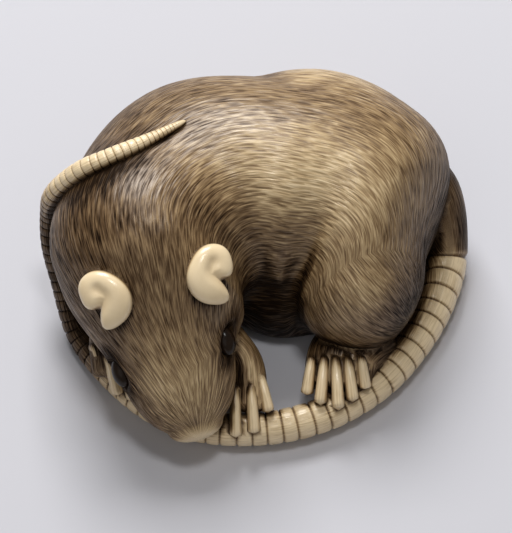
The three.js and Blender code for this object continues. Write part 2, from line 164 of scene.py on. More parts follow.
# Legs and feet: rows of a place on the middle line, half width and half height
LIMBS = [
    [
        [-4.5, -8.0, 8.0, 2.6, 2.8],
        [-1.1, -10.8, 6.4, 1.9, 1.9],
        [-0.3, -13.4, 4.7, 1.8, 1.3],
        [-0.2, -16.2, 3.7, 1.8, 0.9],
    ],
    [[-13.6, -4.0, 6.0, 2.8, 2.6], [-15.0, -7.6, 4.7, 2.2, 1.6], [-14.6, -11.6, 3.2, 2.2, 0.9]],
    [[13.0, -5.2, 2.9, 3.6, 2.7], [9.6, -9.4, 3.8, 4.0, 2.3], [8.8, -13.6, 3.3, 3.2, 1.5]],
    [[10.4, 12.6, 2.4, 2.8, 2.6], [4.0, 15.6, 1.9, 2.3, 2.0], [-2.4, 16.3, 1.3, 2.6, 1.4]],
]
LIMB_ROUNDING = 0.12
LIMB_ROWS = 20
LIMB_SIDES = 40

# Toes: where the line along the top of each starts and ends
TOES = [
    [[6.2, -10.2, 5.9], [5.6, -13.9, 4.3]],
    [[7.5, -10.2, 6.1], [7.0, -15.1, 4.3]],
    [[8.6, -10.2, 6.2], [8.9, -15.7, 4.3]],
    [[9.8, -10.2, 6.1], [10.4, -14.7, 4.3]],
    [[11.2, -10.1, 6.0], [11.7, -13.2, 4.4]],
    [[0.6, -12.0, 5.8], [1.6, -16.0, 4.3]],
    [[-0.3, -13.2, 5.9], [0.1, -18.1, 3.5]],
    [[-1.9, -13.4, 5.8], [-1.8, -18.4, 3.3]],
    [[-16.9, -8.0, 5.0], [-16.0, -10.6, 3.4]],
    [[-15.4, -9.4, 5.3], [-14.1, -13.4, 3.3]],
    [[-13.8, -10.6, 5.2], [-12.5, -13.9, 3.2]],
    [[-0.4, 14.6, 2.6], [-4.0, 14.0, 1.5]],
    [[-0.4, 15.7, 2.8], [-5.0, 15.6, 1.5]],
    [[-0.4, 16.8, 2.8], [-5.0, 17.0, 1.5]],
    [[-0.2, 17.8, 2.5], [-3.8, 18.3, 1.4]],
]
TOE_HALF_WIDTH = 0.62
TOE_FIRST_WIDTH = 0.8
TOE_WIDENING = 0.35
TOE_DEPTH = 1.9
TOE_ARCH = 0.35
TOE_ROUNDING = 0.11
TOE_BARE = (0.06, 0.34)
TOE_ROWS = 16
TOE_SIDES = 14

# Tail: its root, its way along the floor, and its climb as turn round the opening and lean from the back's
# top, then its half thickness at shares of its length
TAIL_ROOT = [[15.5, 11.5, 9.0], [19.3, 8.6, 7.4]]
TAIL_ON_FLOOR = [
    [20.5, 3.8], [19.5, -1.4], [17.1, -6.4], [13.6, -11.0], [8.9, -14.5], [3.9, -16.4],
    [-1.2, -17.0], [-6.2, -16.4], [-11.0, -14.0], [-15.2, -10.0], [-18.4, -5.2],
]
TAIL_CLIMB = [[162, 115], [158, 95], [155, 76], [155, 56], [152, 36], [146, 23], [136, 15], [121, 12]]
TAIL_HALF = np.array([
    [0, 3.2], [0.06, 2.9], [0.16, 2.25], [0.4, 1.95], [0.6, 1.55], [0.8, 1.25], [0.93, 0.95], [1, 0.3],
])
TAIL_FLOOR_SHARES = (0.1, 0.65)
TAIL_CLIMB_SHARES = (0.72, 1)
TAIL_LIFT = 0.55
TAIL_HUB = np.array([0.0, 0.0, 8.0])
TAIL_SIDES = 22
TAIL_ROOT_ROWS = 24
TAIL_TIP_ROWS = 6
TAIL_ROUNDING = 0.01
TAIL_TRIM = 0.915
# Its rings: where they start and stop, the length of one in half thicknesses and how much that varies, depth
# and width of the groove between two, how much lower a ring's ends are than its middle, and a ring's rows
RINGS_START = 0.12
RINGS_STOP = 0.985
RING_LENGTH = 0.82
RING_UNEVENNESS = 0.24
RING_GROOVE = 0.1
RING_GROOVE_WIDTH = 0.085
RING_CROWN = 0.03
RING_WAYS = (0.0, 0.05, 0.12, 0.35, 0.65, 0.88, 0.95)
# Where its bare ivory starts; its stain and painted shade on the side towards the body; and how much darker
# the stretch on the left is, between shares of its length
TAIL_BARE = (RINGS_START - 0.012, RINGS_START + 0.004)
TAIL_INNER = (0.3, -0.7)
TAIL_INNER_STAIN_AND_SHADE = 0.12
TAIL_LEFT_DARKENING = 0.82
TAIL_LEFT_FROM = (0.55, 0.63)
TAIL_LEFT_TO = (0.87, 0.76)

# Ears: each a thick comma with a large upper lobe and a notch on its outer side, as rows of angle in its own
# plane (0 is out from the head's middle, 90 is back) and distance of its edge there, the line of the soft
# hollow that curls in from the notch, and a row of balls that fills the ear
EAR_EDGE = np.array([
    [-46, 1.5],
    [-32, 1.75],
    [-17, 2.4],
    [8, 2.8],
    [50, 3.3],
    [129, 2.4],
    [188, 2.45],
    [258, 3.1],
    [291, 3.4],
    [302, 2.7],
    [314, 1.5],
])
EAR_HOLLOW = [[1.5, -1.6, 0], [0.6, -0.6, 0], [0.1, 0.3, 0], [0.6, 1.1, 0]]
EAR_HOLLOW_DEPTH = 0.3
EAR_HOLLOW_HALF = 0.6
# How dark the ear's hollow is painted, as its shade
EAR_HOLLOW_SHADE = 0.10
EAR_BALLS = np.array([[0.3, 1.2, 0], [-0.8, 0.2, 0], [-0.3, -1.5, 0], [0.7, -2.1, 0]])
EAR_HALF_HEIGHT = 1.3
EAR_SQUARENESS = 0.75
EAR_BACKS = {-1: 16.7, 1: 17.5}
EAR_PLACE_LEANS = {-1: 42, 1: 38}
EAR_FACING_LEAN = 14
EAR_LIFT = 0.5
EAR_ROWS = 36
EAR_SIDES = 60

# Eyes: distance back from the nose tip, lean from the crown (of the left and of the right one), half lengths
# and how far the middles are sunk
EYE_BACK = 9.3
EYE_LEANS = {-1: 70, 1: 77}
EYE_HALF = np.array([1.6, 1.0, 1.0])
EYE_SUNK = 0.35
EYE_GAP = 0.12
EYE_ROWS = 24
EYE_SIDES = 40
# Round an eye: the height of the lid and the depth of the pit, and in sizes of the socket the place and width
# of the lid, the edge of the pit, and how far the smooth skin and the painted shade in the socket reach
LID_HEIGHT = 0.14
PIT_DEPTH = 0.95
LID_PLACE = 1.3
LID_WIDTH = 0.2
PIT_EDGE = (1.08, 0.7)
SMOOTH_SKIN = (1.5, 1.2)
SOCKET_SHADE = (2.3, 1.0)
# How far above and below an eye's middle its carving is cut
EYE_REACH = 3
# The nostrils' places back, aside and up from the nose's middle, their size and depth, and the bare nose tip
NOSTRIL = (-0.6, 1.0, 0.6)
NOSTRIL_SIZE = 0.4
NOSTRIL_DEPTH = 0.35
NOSE_TIP = -1.2
BARE_NOSE = (3.9, 2.3)

# The stain and the painted shade. Creases and valleys are hollows that are narrower than these reaches: stain
# gathers in them, and painted shade darkens them.
CREASE_REACH = 1.2
VALLEY_REACH = 4.0
# Patches that fade like bells, as the middle's X and Y and the two half widths: a painted sheen on the
# ridge, a lighter haunch top, and painted shade on the nape behind the ears
RIDGE_SHEEN_PATCH = (4.5, 1.8, 8.5, 5.2)
HAUNCH_PATCH = (11.5, -4.0, 5.0, 5.0)
NAPE_PATCH = (-4.5, -2.0, 4.0, 3.5)
# Patches on the far rim, as the middle's X and the half width
RIM_PATCH = (7.0, 8.0)
SMUDGE_PATCH = (1.6, 2.2)
# The painted shadow that the climbing tail casts in front of it: a place and the direction across it, its
# middle and its half width
BAND_PLACE = np.array([-19.1, 3.2])
BAND_ACROSS = np.array([0.365, -0.931])
BAND_MIDDLE = 2.0
BAND_HALF = 2.4
# The two places or slopes between which a patch fades in
UPWARD = (0.1, 0.9)
TOP_X = (-14, -2)
TOP_Z = (8, 20)
HAUNCH_Z = (5, 12)
RIM_Y = (11, 17)
SMUDGE_Y = (13.5, 16.5)
SMUDGE_Z = (13, 17)
SNOUT_BACK = (15, 6)
SNOUT_UPWARD = (0.75, 0.98)
WALL_FRONT_Y = (-7.5, -6.5)
WALL_REAR_Y = (0.6, -2.4)
WALL_ASIDE = (6.5, 4.5)
WALL_Z = (12.5, 6.5)
SHOULDER_X = (-10, -18)
NAPE_Z = (12, 16)
FLANK_RIGHTWARD = (0.1, 0.8)
FLANK_Z = (16, 9)
FLANK_X = (6, 11)
BAND_LEFT_X = (-20.5, -18)
BAND_RIGHT_X = (-9, -12)
BAND_Z = (6, 10)
# Shares of the lightening, by place: wear together with painted light on faces that turn upwards, a painted
# sheen on the ridge, and a lighter haunch top and far rim
WEAR_AND_SHEEN = {"top": 0.22, "ridge_sheen": 0.85, "haunch": 0.20, "rim": 0.55}
# How much each adds to the stain, on the fur and on bare ivory. Creases and valleys hold stain and painted
# shade; the wall, the tail's shadow, the nape and the flank are painted shade; the wear is wear and painted
# sheen.
FUR_STAIN_AND_PAINTED_LIGHT = {
    "ground": 0.60,
    "groove": 0.26,
    "crease": 0.60,
    "valley_stain_and_shade": 0.60,
    "dark": 0.35,
    "wall_shade": 1.4,
    "shoulder": 0.10,
    "tail_shadow": 0.45,
    "nape_shade": 0.22,
    "flank": 0.30,
    "smudge": 0.30,
    "worn_and_sheen": -0.46,
    "snout": -0.34,
}
BARE_STAIN_AND_PAINTED_SHADE = {"ground": 0.02, "groove": 0.58, "crease": 0.50, "valley_stain_and_shade": 0.22, "dark": 1.0}
# Colours of the ivory by stain, whose value also holds the painted shade and sheen
IVORY_COLOURS = [
    (0.0, (0.90, 0.72, 0.46)),
    (0.25, (0.62, 0.455, 0.25)),
    (0.5, (0.31, 0.20, 0.094)),
    (0.75, (0.115, 0.063, 0.025)),
    (1.0, (0.014, 0.007, 0.003)),
]
HORN_COLOURS = [(0.006, 0.004, 0.003, 1), (0.03, 0.016, 0.008, 1)]

# The stage in metres: the floor, the sky's light, and the lamps with their place, size and power
FLOOR_HALF = 1.5
FLOOR_DROP = 0.00003
FLOOR_COLOUR = (0.60, 0.597, 0.635, 1)
SKY_COLOUR = (1.0, 0.98, 0.96, 1)
SKY_STRENGTH = 0.20
LAMPS = [
    ("key", (-0.07, 0.31, 0.39), 0.22, 2.4),
    ("top", (0.02, 0.0, 0.50), 0.08, 0.55),
    ("fill", (-0.15, -0.35, 0.40), 0.40, 0.15),
]

# The camera: elevation, distance, the place it looks at, and the height of the frame there
CAMERA_ELEVATION = 60.0
CAMERA_DISTANCE = 600.0
CAMERA_TARGET = np.array([0.3, -1.97, 10.0])
CAMERA_FRAME_HEIGHT = 55.75


def station(rows, t):
    """Reads a table of stations at t: each column runs on a cubic through its rows and holds its ends."""
    t = np.clip(np.asarray(t, float), rows[0, 0], rows[-1, 0])
    i = np.clip(np.searchsorted(rows[:, 0], t, side="left") - 1, 0, len(rows) - 2)
    a, b = rows[i], rows[i + 1]
    before, after = rows[np.maximum(i - 1, 0)], rows[np.minimum(i + 2, len(rows) - 1)]
    step = b[..., :1] - a[..., :1]
    p = (t[..., None] - a[..., :1]) / step
    leave = (b - before) / (b[..., :1] - before[..., :1]) * step
    arrive = (after - a) / (after[..., :1] - a[..., :1]) * step
    value = a * (1 + 2 * p) * (1 - p) ** 2 + leave * p * (1 - p) ** 2
    value = value + b * p * p * (3 - 2 * p) + arrive * p * p * (p - 1)
    return value[..., 1:]


def ramp(low, high, value):
    """Rises smoothly from 0 at low to 1 at high."""
    t = np.clip((value - low) / (high - low), 0, 1)
    return t * t * (3 - 2 * t)


def ellipsoid_distance(x, y, z, a, b, c):
    """Near-distance from an ellipsoid round the origin: negative inside, zero on it."""
    near = np.sqrt((x / a) ** 2 + (y / b) ** 2 + (z / c) ** 2)
    slope = np.sqrt((x / a**2) ** 2 + (y / b**2) ** 2 + (z / c**2) ** 2)
    return near * (near - 1) / np.maximum(slope, 1e-9)


def blend(a, b, width):
    """Joins two distances with a fillet of about the given width."""
    h = np.maximum(width - np.abs(a - b), 0) / width
    return np.minimum(a, b) - h * h * width / 4


def frame_along(direction, roll=0.0):
    """A level frame along a direction, turned about it by roll: rows along, across and upwards."""
    along = np.asarray(direction, float) / np.linalg.norm(direction)
    across = np.cross(UPRIGHT, along)
    across /= np.linalg.norm(across)
    across = across * math.cos(math.radians(roll)) - np.cross(along, across) * math.sin(math.radians(roll))
    return np.array([along, across, np.cross(along, across)])


HEAD_FRAME = frame_along(SKULL - NOSE, HEAD_ROLL)


def trunk_distance(p):
    """Near-distance from the trunk: an ellipse carried round the opening, ending in parts of ellipsoids."""
    d = p[..., :2] - OPENING
    turn = np.degrees(np.arctan2(d[..., 1], d[..., 0]))
    turn = np.where(turn < -90, turn + 360, turn)
    held = np.clip(turn, TRUNK[0, 0], TRUNK[-1, 0])
    reach, rise, half_width, half_height = np.moveaxis(station(TRUNK, held), -1, 0)
    cos, sin = np.cos(np.radians(held)), np.sin(np.radians(held))
    past = np.where(held == turn, 0, np.abs(d[..., 1] * cos - d[..., 0] * sin))
    out = d[..., 0] * cos + d[..., 1] * sin - reach
    half = half_width * TRUNK_SWELL, TRUNK_END + TRUNK_LEAD, half_height * TRUNK_SWELL
    return ellipsoid_distance(out, past + TRUNK_LEAD, p[..., 2] - rise, *half)


def head_distance(p):
    """Near-distance from the head: sections of two half ellipses carried from the nose to the skull."""
    back, across, up = np.moveaxis((p - NOSE) @ HEAD_FRAME.T, -1, 0)
    held = np.clip(back, HEAD[0, 0], HEAD[-1, 0])
    half_width, crown, jaw = np.moveaxis(station(HEAD, held), -1, 0)
    end = np.where(back < held, NOSE_LENGTH, NAPE_LENGTH)
    return ellipsoid_distance(back - held, across, up, end, half_width, np.where(up > 0, crown, jaw))


def body_distance(p):
    """Near-distance from the rat without ears, feet and tail: blended masses on a flat belly."""
    d = blend(trunk_distance(p), head_distance(p), NECK_BLEND)
    for middle, along, half, fillet in MASSES:
        local = (p - np.array(middle)) @ frame_along(along).T
        d = blend(d, ellipsoid_distance(local[..., 0], local[..., 1], local[..., 2], *half), fillet)
    return -blend(-d, p[..., 2], BASE_ROUNDING)


def way_out(start, direction):
    """Distance along each direction to the body's surface: strides outwards, then halves of the last one."""
    inside = np.zeros(np.broadcast_shapes(start.shape, direction.shape)[:-1])
    done = np.zeros(inside.shape, bool)
    reached = STRIDE
    while reached < FARTHEST and not done.all():
        done |= body_distance(start + direction * reached) > 0
        inside = np.where(done, inside, reached)
        reached += STRIDE
    outside = inside + STRIDE
    for _ in range(HALVINGS):
        middle = (inside + outside) / 2
        out = body_distance(start + direction * middle[..., None]) > 0
        outside = np.where(out, middle, outside)
        inside = np.where(out, inside, middle)
    return inside


def on_body(turn, around, tilt=0.0, pole=UPRIGHT):
    """Places on the body and the directions they are measured in. Each is where a line from the core comes
    out: turn goes round the opening, around goes round the section from the belly over the inner flank and
    the back, and tilt leans the line towards an end of the body."""
    turn, around, tilt = np.broadcast_arrays(*(np.asarray(x, float) for x in (turn, around, tilt)))
    reach, rise = np.moveaxis(station(CORE, turn), -1, 0)
    t, a, lean = np.radians(turn), np.radians(around), np.radians(tilt)
    outward = np.stack([np.cos(t), np.sin(t), 0 * t], -1)
    start = np.stack([OPENING[0] + reach * np.cos(t), OPENING[1] + reach * np.sin(t), rise], -1)
    direction = -np.sin(a)[..., None] * outward - np.cos(a)[..., None] * UPRIGHT
    direction = direction * np.cos(lean)[..., None] + np.sin(lean)[..., None] * pole / np.linalg.norm(pole)
    direction = direction / np.linalg.norm(direction, axis=-1, keepdims=True)
    return start + direction * way_out(start, direction)[..., None], direction


def outwards(p):
    """Directions straight off the body: the slope of its near-distance, by small steps either way."""
    step = 0.02
    slope = [body_distance(p + step * axis) - body_distance(p - step * axis) for axis in np.eye(3)]
    slope = np.stack(slope, -1)
    return slope / np.maximum(np.linalg.norm(slope, axis=-1, keepdims=True), 1e-9)


def stirred(*numbers):
    """A number from 0 to 1 for each set of whole numbers, the same on every run: weighted, then bit-mixed."""
    mixed = np.zeros(np.broadcast_shapes(*(np.shape(n) for n in numbers)), np.uint32)
    for number, weight in zip(numbers, (73856093, 19349663, 83492791)):
        whole = (np.asarray(number).astype(np.int64) & 0xFFFFFFFF).astype(np.uint32)
        mixed = mixed ^ (whole * np.array(weight, np.uint32))
    for shift, weight in ((15, 0x2C1B3C6D), (12, 0x297A2D39), (15, 1)):
        mixed = (mixed ^ (mixed >> np.uint32(shift))) * np.array(weight, np.uint32)
    return mixed / 2.0**32


def cuts(lane, along, length, share, seed):
    """Depth from 0 to 1 of short engraved cuts. In each lane, one wide, cuts follow each other with a start
    and a length of their own. A cut leans a little across its lane, runs in quickly and out slowly, and its
    section is a bell. share is the share of cuts that are made."""
    column = np.floor(lane)
    pace = (0.75 + 0.5 * stirred(column, 0, seed)) / length
    phase = along * pace + 9 * stirred(column, 1, seed)
    cut = np.floor(phase)
    way = phase - cut
    lean = CUT_LEAN * (stirred(column, cut, seed + 1) - 0.5)
    aside = lane - column - 0.5 - lean * (way - 0.5)
    section = np.cos(np.pi * np.clip(aside / CUT_WIDTH, -0.5, 0.5)) ** 2
    taper = np.clip(way / CUT_RUNS_IN, 0, 1) * np.clip((1 - way) / CUT_RUNS_OUT, 0, 1)
    depth = SHALLOWEST_CUT + (1 - SHALLOWEST_CUT) * stirred(column, cut, seed + 2)
    return section * taper * depth * (stirred(column, cut, seed + 3) < share)


def engraved(column, along, spacing):
    """Depth from 0 to 1 of the fur's cuts on a grid whose columns run with the hair. The lanes are so many
    columns wide that the lines stay HAIR_PITCH apart, and two widths mix where columns draw together."""
    wanted = np.log2(np.clip(HAIR_PITCH / spacing, LANE_COLUMNS[0], LANE_COLUMNS[-1]))
    depth = np.zeros(np.shape(spacing))
    for k, columns in enumerate(LANE_COLUMNS):
        share = np.clip(1 - 2 * np.abs(wanted - math.log2(columns)), 0, 1)
        for layer in range(2):
            lane = column / columns + 0.5 * layer
            layer_seed = 100 * k + 10 * layer
            depth = np.maximum(depth, cuts(lane, along, HAIR_LENGTH, CUTS_MADE * share, layer_seed))
    return depth


class Shells:
    """Closed grids gathered into one mesh, each with what its points carry."""

    def __init__(self):
        self.points, self.faces, self.carried = [], [], []
        self.count = 0

    def add(self, grid, **carried):
        """Adds a grid of rows and columns. Rows close into rings, and the first and the last into points."""
        rows, columns = grid.shape[:2]
        points = np.concatenate([grid[:1, 0], grid[1:-1].reshape(-1, 3), grid[-1:, 0]])
        ring = np.arange(columns)
        after = (ring + 1) % columns
        start = 1 + columns * np.arange(rows - 3)[:, None]
        quads = np.stack([start + ring, start + after, start + columns + after, start + columns + ring], -1)
        tip = len(points) - 1
        foot = tip - columns
        fans = [
            np.stack([0 * ring, 1 + after, 1 + ring], -1),
            np.stack([0 * ring + tip, foot + ring, foot + after], -1),
        ]
        corners = points[quads.reshape(-1, 4)]
        face = np.cross(corners[:, 2] - corners[:, 0], corners[:, 3] - corners[:, 1])
        inside_out = np.einsum("ij,ij->i", face, corners.mean(1) - points.mean(0)).sum() < 0
        for block in [quads.reshape(-1, 4), *fans]:
            block = block[:, ::-1] if inside_out else block
            self.faces += (block + self.count).tolist()
        values = {}
        for name, field in carried.items():
            field = np.broadcast_to(field, grid.shape[:2] + np.shape(field)[2:])
            tail = field.shape[2:]
            values[name] = np.concatenate([field[:1, 0], field[1:-1].reshape(-1, *tail), field[-1:, 0]])
        self.points.append(points)
        self.carried.append(values)
        self.count += len(points)

    def mesh(self, name):
        """The gathered grids as one object, in metres and in the part's frame."""
        data = bpy.data.meshes.new(name)
        points = (np.concatenate(self.points) - OUTLINE_MIDDLE) * METRES
        data.from_pydata(points.tolist(), [], self.faces)
        for key in self.carried[0]:
            values = np.concatenate([c[key] for c in self.carried]).astype(np.float32)
            kind, slot = ("FLOAT_VECTOR", "vector") if values.ndim > 1 else ("FLOAT", "value")
            data.attributes.new(key, kind, "POINT").data.foreach_set(slot, values.ravel())
        piece = bpy.data.objects.new(name, data)
        bpy.context.scene.collection.objects.link(piece)
        return piece


def curve_through(points, fineness=60):
    """Places along a smooth curve through points, with their tangents and distances along it: on each stretch
    a cubic that leaves a point along the line between its two neighbours."""
    p = np.asarray(points, float)
    p = np.concatenate([2 * p[:1] - p[1:2], p, 2 * p[-1:] - p[-2:-1]])
    t = np.linspace(0, 1, fineness, endpoint=False)[:, None]
    stretches = []
    for a, b, c, d in zip(p, p[1:], p[2:], p[3:]):
        leave, arrive = (c - a) / 2, (d - b) / 2
        square = 3 * c - 3 * b - 2 * leave - arrive
        cube = 2 * b - 2 * c + leave + arrive
        stretches.append(b + leave * t + square * t**2 + cube * t**3)
    places = np.concatenate([*stretches, p[-2:-1]])
    tangents = np.gradient(places, axis=0)
    tangents /= np.linalg.norm(tangents, axis=1, keepdims=True)
    lengths = np.concatenate([[0], np.cumsum(np.linalg.norm(np.diff(places, axis=0), axis=1))])
    return places, tangents, lengths


def along_curve(curve, shares):
    """Places and tangents at shares of a curve's length."""
    places, tangents, lengths = curve
    at = np.asarray(shares) * lengths[-1]
    place = np.stack([np.interp(at, lengths, places[:, k]) for k in range(3)], -1)
    tangent = np.stack([np.interp(at, lengths, tangents[:, k]) for k in range(3)], -1)
    return place, tangent / np.linalg.norm(tangent, axis=1, keepdims=True)


def rounded_ends(t, first, last):
    """0 at either end of a tube and 1 within, rounded over shares of its length."""
    start = np.clip(t / first, 0, 1)
    end = np.clip((1 - t) / last, 0, 1)
    return np.sqrt(np.maximum(0, (1 - (1 - start) ** 2) * (1 - (1 - end) ** 2)))


def tube(curve, shares, half_width, half_height, up, sides):
    """An ellipse carried along a curve: middle plus half width times cosine across plus half height times
    sine up. Returns the grid, the angles round it and the distances along it."""
    place, tangent = along_curve(curve, shares)
    across = np.cross(tangent, up)
    across /= np.linalg.norm(across, axis=1, keepdims=True)
    upward = np.cross(across, tangent)
    angle = np.linspace(0, 2 * np.pi, sides, endpoint=False)
    grid = place[:, None] + half_width[:, None, None] * np.cos(angle)[:, None] * across[:, None]
    grid = grid + half_height[:, None, None] * np.sin(angle)[:, None] * upward[:, None]
    return grid, angle, np.asarray(shares) * curve[2][-1]


def above_floor(grid):
    """Flattens what would reach under the plane that the carving rests on."""
    return np.concatenate([grid[..., :2], np.maximum(grid[..., 2:], 0)], -1)


def body_columns():
    """Angles of the body's columns: even over the sector that shows, sparse under belly and low flanks."""
    angle = np.linspace(0, 360, 1441)
    first, last = FINE_SECTOR
    rise = ramp(first - SECTOR_EDGE, first, angle) * ramp(last + SECTOR_EDGE, last, angle)
    density = COARSE_SHARE + (1 - COARSE_SHARE) * rise
    gathered = np.concatenate([[0], np.cumsum((density[1:] + density[:-1]) / 2)])
    return np.interp(np.arange(BODY_COLUMNS) / BODY_COLUMNS * gathered[-1], gathered, angle)


def off_head(side, lean):
    """A direction off the head that leans from the crown to one side: 1 is the rat's right, -1 its left."""
    return HEAD_FRAME[2] * math.cos(math.radians(lean)) + HEAD_FRAME[1] * side * math.sin(math.radians(lean))


def on_head(back, side, lean):
    """Where a line in such a direction, from the middle of the head, comes out of the body."""
    off = off_head(side, lean)
    middle = NOSE + HEAD_FRAME[0] * back
    return middle + off * way_out(middle[None], off[None])[0]


def eye_axes(side):
    """An eye's middle, and its axes along the head, up the cheek and outwards."""
    off = off_head(side, EYE_LEANS[side])
    upward = np.cross(off, HEAD_FRAME[0])
    upward /= np.linalg.norm(upward)
    outward = np.cross(HEAD_FRAME[0], upward)
    if outward @ off < 0:
        outward = -outward
    middle = on_head(EYE_BACK, side, EYE_LEANS[side]) - off * EYE_SUNK
    return middle, np.array([HEAD_FRAME[0], upward, outward])


def face_relief(p):
    """How far the face's carving stands off the head: a pit and a low lid round each eye, and two nostrils.
    Also the shares of smooth skin round the eyes, of bare ivory at the nose tip, and of painted shade in the
    sockets and nostrils."""
    relief, smooth, dark = (np.zeros(p.shape[:-1]) for _ in range(3))
    for side in (-1, 1):
        middle, axes = eye_axes(side)
        x, y, z = np.moveaxis((p - middle) @ axes.T, -1, 0)
        ring = np.sqrt((x / (EYE_HALF[0] + EYE_GAP)) ** 2 + (y / (EYE_HALF[1] + EYE_GAP)) ** 2)
        near = np.abs(z) < EYE_REACH
        lid = LID_HEIGHT * np.exp(-(((ring - LID_PLACE) / LID_WIDTH) ** 2))
        relief += near * (lid - PIT_DEPTH * ramp(*PIT_EDGE, ring))
        smooth = np.maximum(smooth, near * ramp(*SMOOTH_SKIN, ring))
        nostril = NOSE + np.array(NOSTRIL) * (1, side, 1) @ HEAD_FRAME
        hole = np.exp(-((np.linalg.norm(p - nostril, axis=-1) / NOSTRIL_SIZE) ** 2))
        relief -= NOSTRIL_DEPTH * hole
        # Painted shade in the sockets and nostrils
        dark = np.maximum(dark, np.maximum(near * ramp(*SOCKET_SHADE, ring), hole))
    tip = np.linalg.norm(p - NOSE - HEAD_FRAME[0] * NOSE_TIP, axis=-1)
    return relief, smooth, ramp(*BARE_NOSE, tip), dark


def furred_body():
    """The body on its grid, cut with fur. Rows follow each other from the haunch's pole along the core to the
    nose's pole, and each closes round the body. Returns the grid and what it carries."""
    first, last = FUR_TURNS
    over = np.linspace(first, last, BACK_ROWS)
    turn = np.concatenate([np.full(HAUNCH_ROWS, first), over, np.full(NOSE_ROWS, last)])
    haunch_tilt = np.linspace(90, 0, HAUNCH_ROWS, endpoint=False)
    nose_tilt = np.linspace(90, 0, NOSE_ROWS, endpoint=False)[::-1]
    around = body_columns()[None] + DRIFT * ramp(*DRIFT_TURNS, turn)[:, None]
    rump, nose = slice(None, HAUNCH_ROWS), slice(-NOSE_ROWS, None)
    back = slice(HAUNCH_ROWS, -NOSE_ROWS)
    parts = [
        on_body(turn[rump, None], around[rump], haunch_tilt[:, None], HAUNCH_POLE)[0],
        on_body(turn[back, None], around[back])[0],
        on_body(turn[nose, None], around[nose], nose_tilt[:, None], NOSE_POLE)[0],
    ]
    grid = np.concatenate(parts)
    off = outwards(grid)
    spacing = np.linalg.norm(np.roll(grid, -1, 1) - np.roll(grid, 1, 1), axis=-1) / 2
    step = np.linalg.norm(np.diff(grid, axis=0), axis=-1)
    along = np.concatenate([np.zeros((1, grid.shape[1])), np.cumsum(step, 0)])
    column = np.broadcast_to(np.arange(BODY_COLUMNS, dtype=float), spacing.shape)
    relief, smooth, bare, dark = face_relief(grid)
    fur = engraved(column, along, np.maximum(spacing, LEAST_SPACING))
    fur = fur * ramp(*WIDE_SPACING, spacing) * ramp(*FLOOR_FADE, grid[..., 2]) * (1 - smooth) * (1 - bare)
    grid = grid + off * (relief - BODY_TRIM - HAIR_DEPTH * fur)[..., None]
    fibre = np.stack([column * FIBRE_STEP, along, 0 * along], -1)
    return above_floor(grid), dict(groove=fur, bare=bare, dark=dark, fibre=fibre)


def limb(rows):
    """A leg or foot: an ellipse carried along its middle line, with rounded ends."""
    rows = np.array(rows)
    t = np.linspace(0, 1, LIMB_ROWS + 1)
    table = np.column_stack([np.linspace(0, 1, len(rows)), rows[:, 3:]])
    half = station(table, t) * rounded_ends(t, LIMB_ROUNDING, LIMB_ROUNDING)[:, None]
    grid, angle, along = tube(curve_through(rows[:, :3]), t, half[:, 0], half[:, 1], UPRIGHT, LIMB_SIDES)
    lane = np.broadcast_to(np.arange(LIMB_SIDES) / 2.0, grid.shape[:2])
    groove = cuts(lane, along[:, None], HAIR_LENGTH, CUTS_MADE, 900)
    fibre = np.stack(np.broadcast_arrays(angle[None] * half[:, :1], along[:, None], LIMB_FIBRES), -1)
    return above_floor(grid), dict(groove=groove, bare=0 * groove, dark=0 * groove, fibre=fibre)


def toe(line):
    """A toe: a rod with its top along its line, arched in the middle and widening to its rounded tip."""
    start, end = np.array(line)
    sunk = np.array([0, 0, TOE_HALF_WIDTH * (TOE_DEPTH - 1)])
    middle = (start + end) / 2 + UPRIGHT * TOE_ARCH
    t = np.linspace(0, 1, TOE_ROWS + 1)
    half = TOE_HALF_WIDTH * (TOE_FIRST_WIDTH + TOE_WIDENING * t) * rounded_ends(t, TOE_ROUNDING, TOE_ROUNDING)
    points = [start - sunk, middle - sunk, end - sunk]
    grid, angle, along = tube(curve_through(points), t, half, half * TOE_DEPTH, UPRIGHT, TOE_SIDES)
    bare = np.broadcast_to(ramp(*TOE_BARE, t)[:, None], grid.shape[:2])
    fibre = np.stack(np.broadcast_arrays(angle[None] * TOE_HALF_WIDTH, along[:, None], TOE_FIBRES), -1)
    return above_floor(grid), dict(groove=0 * bare, bare=bare, dark=0 * bare, fibre=fibre)


def tail_half(t):
    """The tail's half thickness at shares of its length."""
    return station(TAIL_HALF, t)[..., 0]


def tail_curve():
    """The tail's middle line: from the rump along the floor, then over the shoulder on the body."""
    floor = np.array(TAIL_ON_FLOOR)
    height = tail_half(np.linspace(*TAIL_FLOOR_SHARES, len(floor)))
    climb = np.array(TAIL_CLIMB)
    place, direction = on_body(climb[:, 0], 180 + climb[:, 1])
    lift = TAIL_LIFT * tail_half(np.linspace(*TAIL_CLIMB_SHARES, len(climb)))
    floor = np.column_stack([floor, height])
    return curve_through([*TAIL_ROOT, *floor, *(place + direction * lift[:, None])])


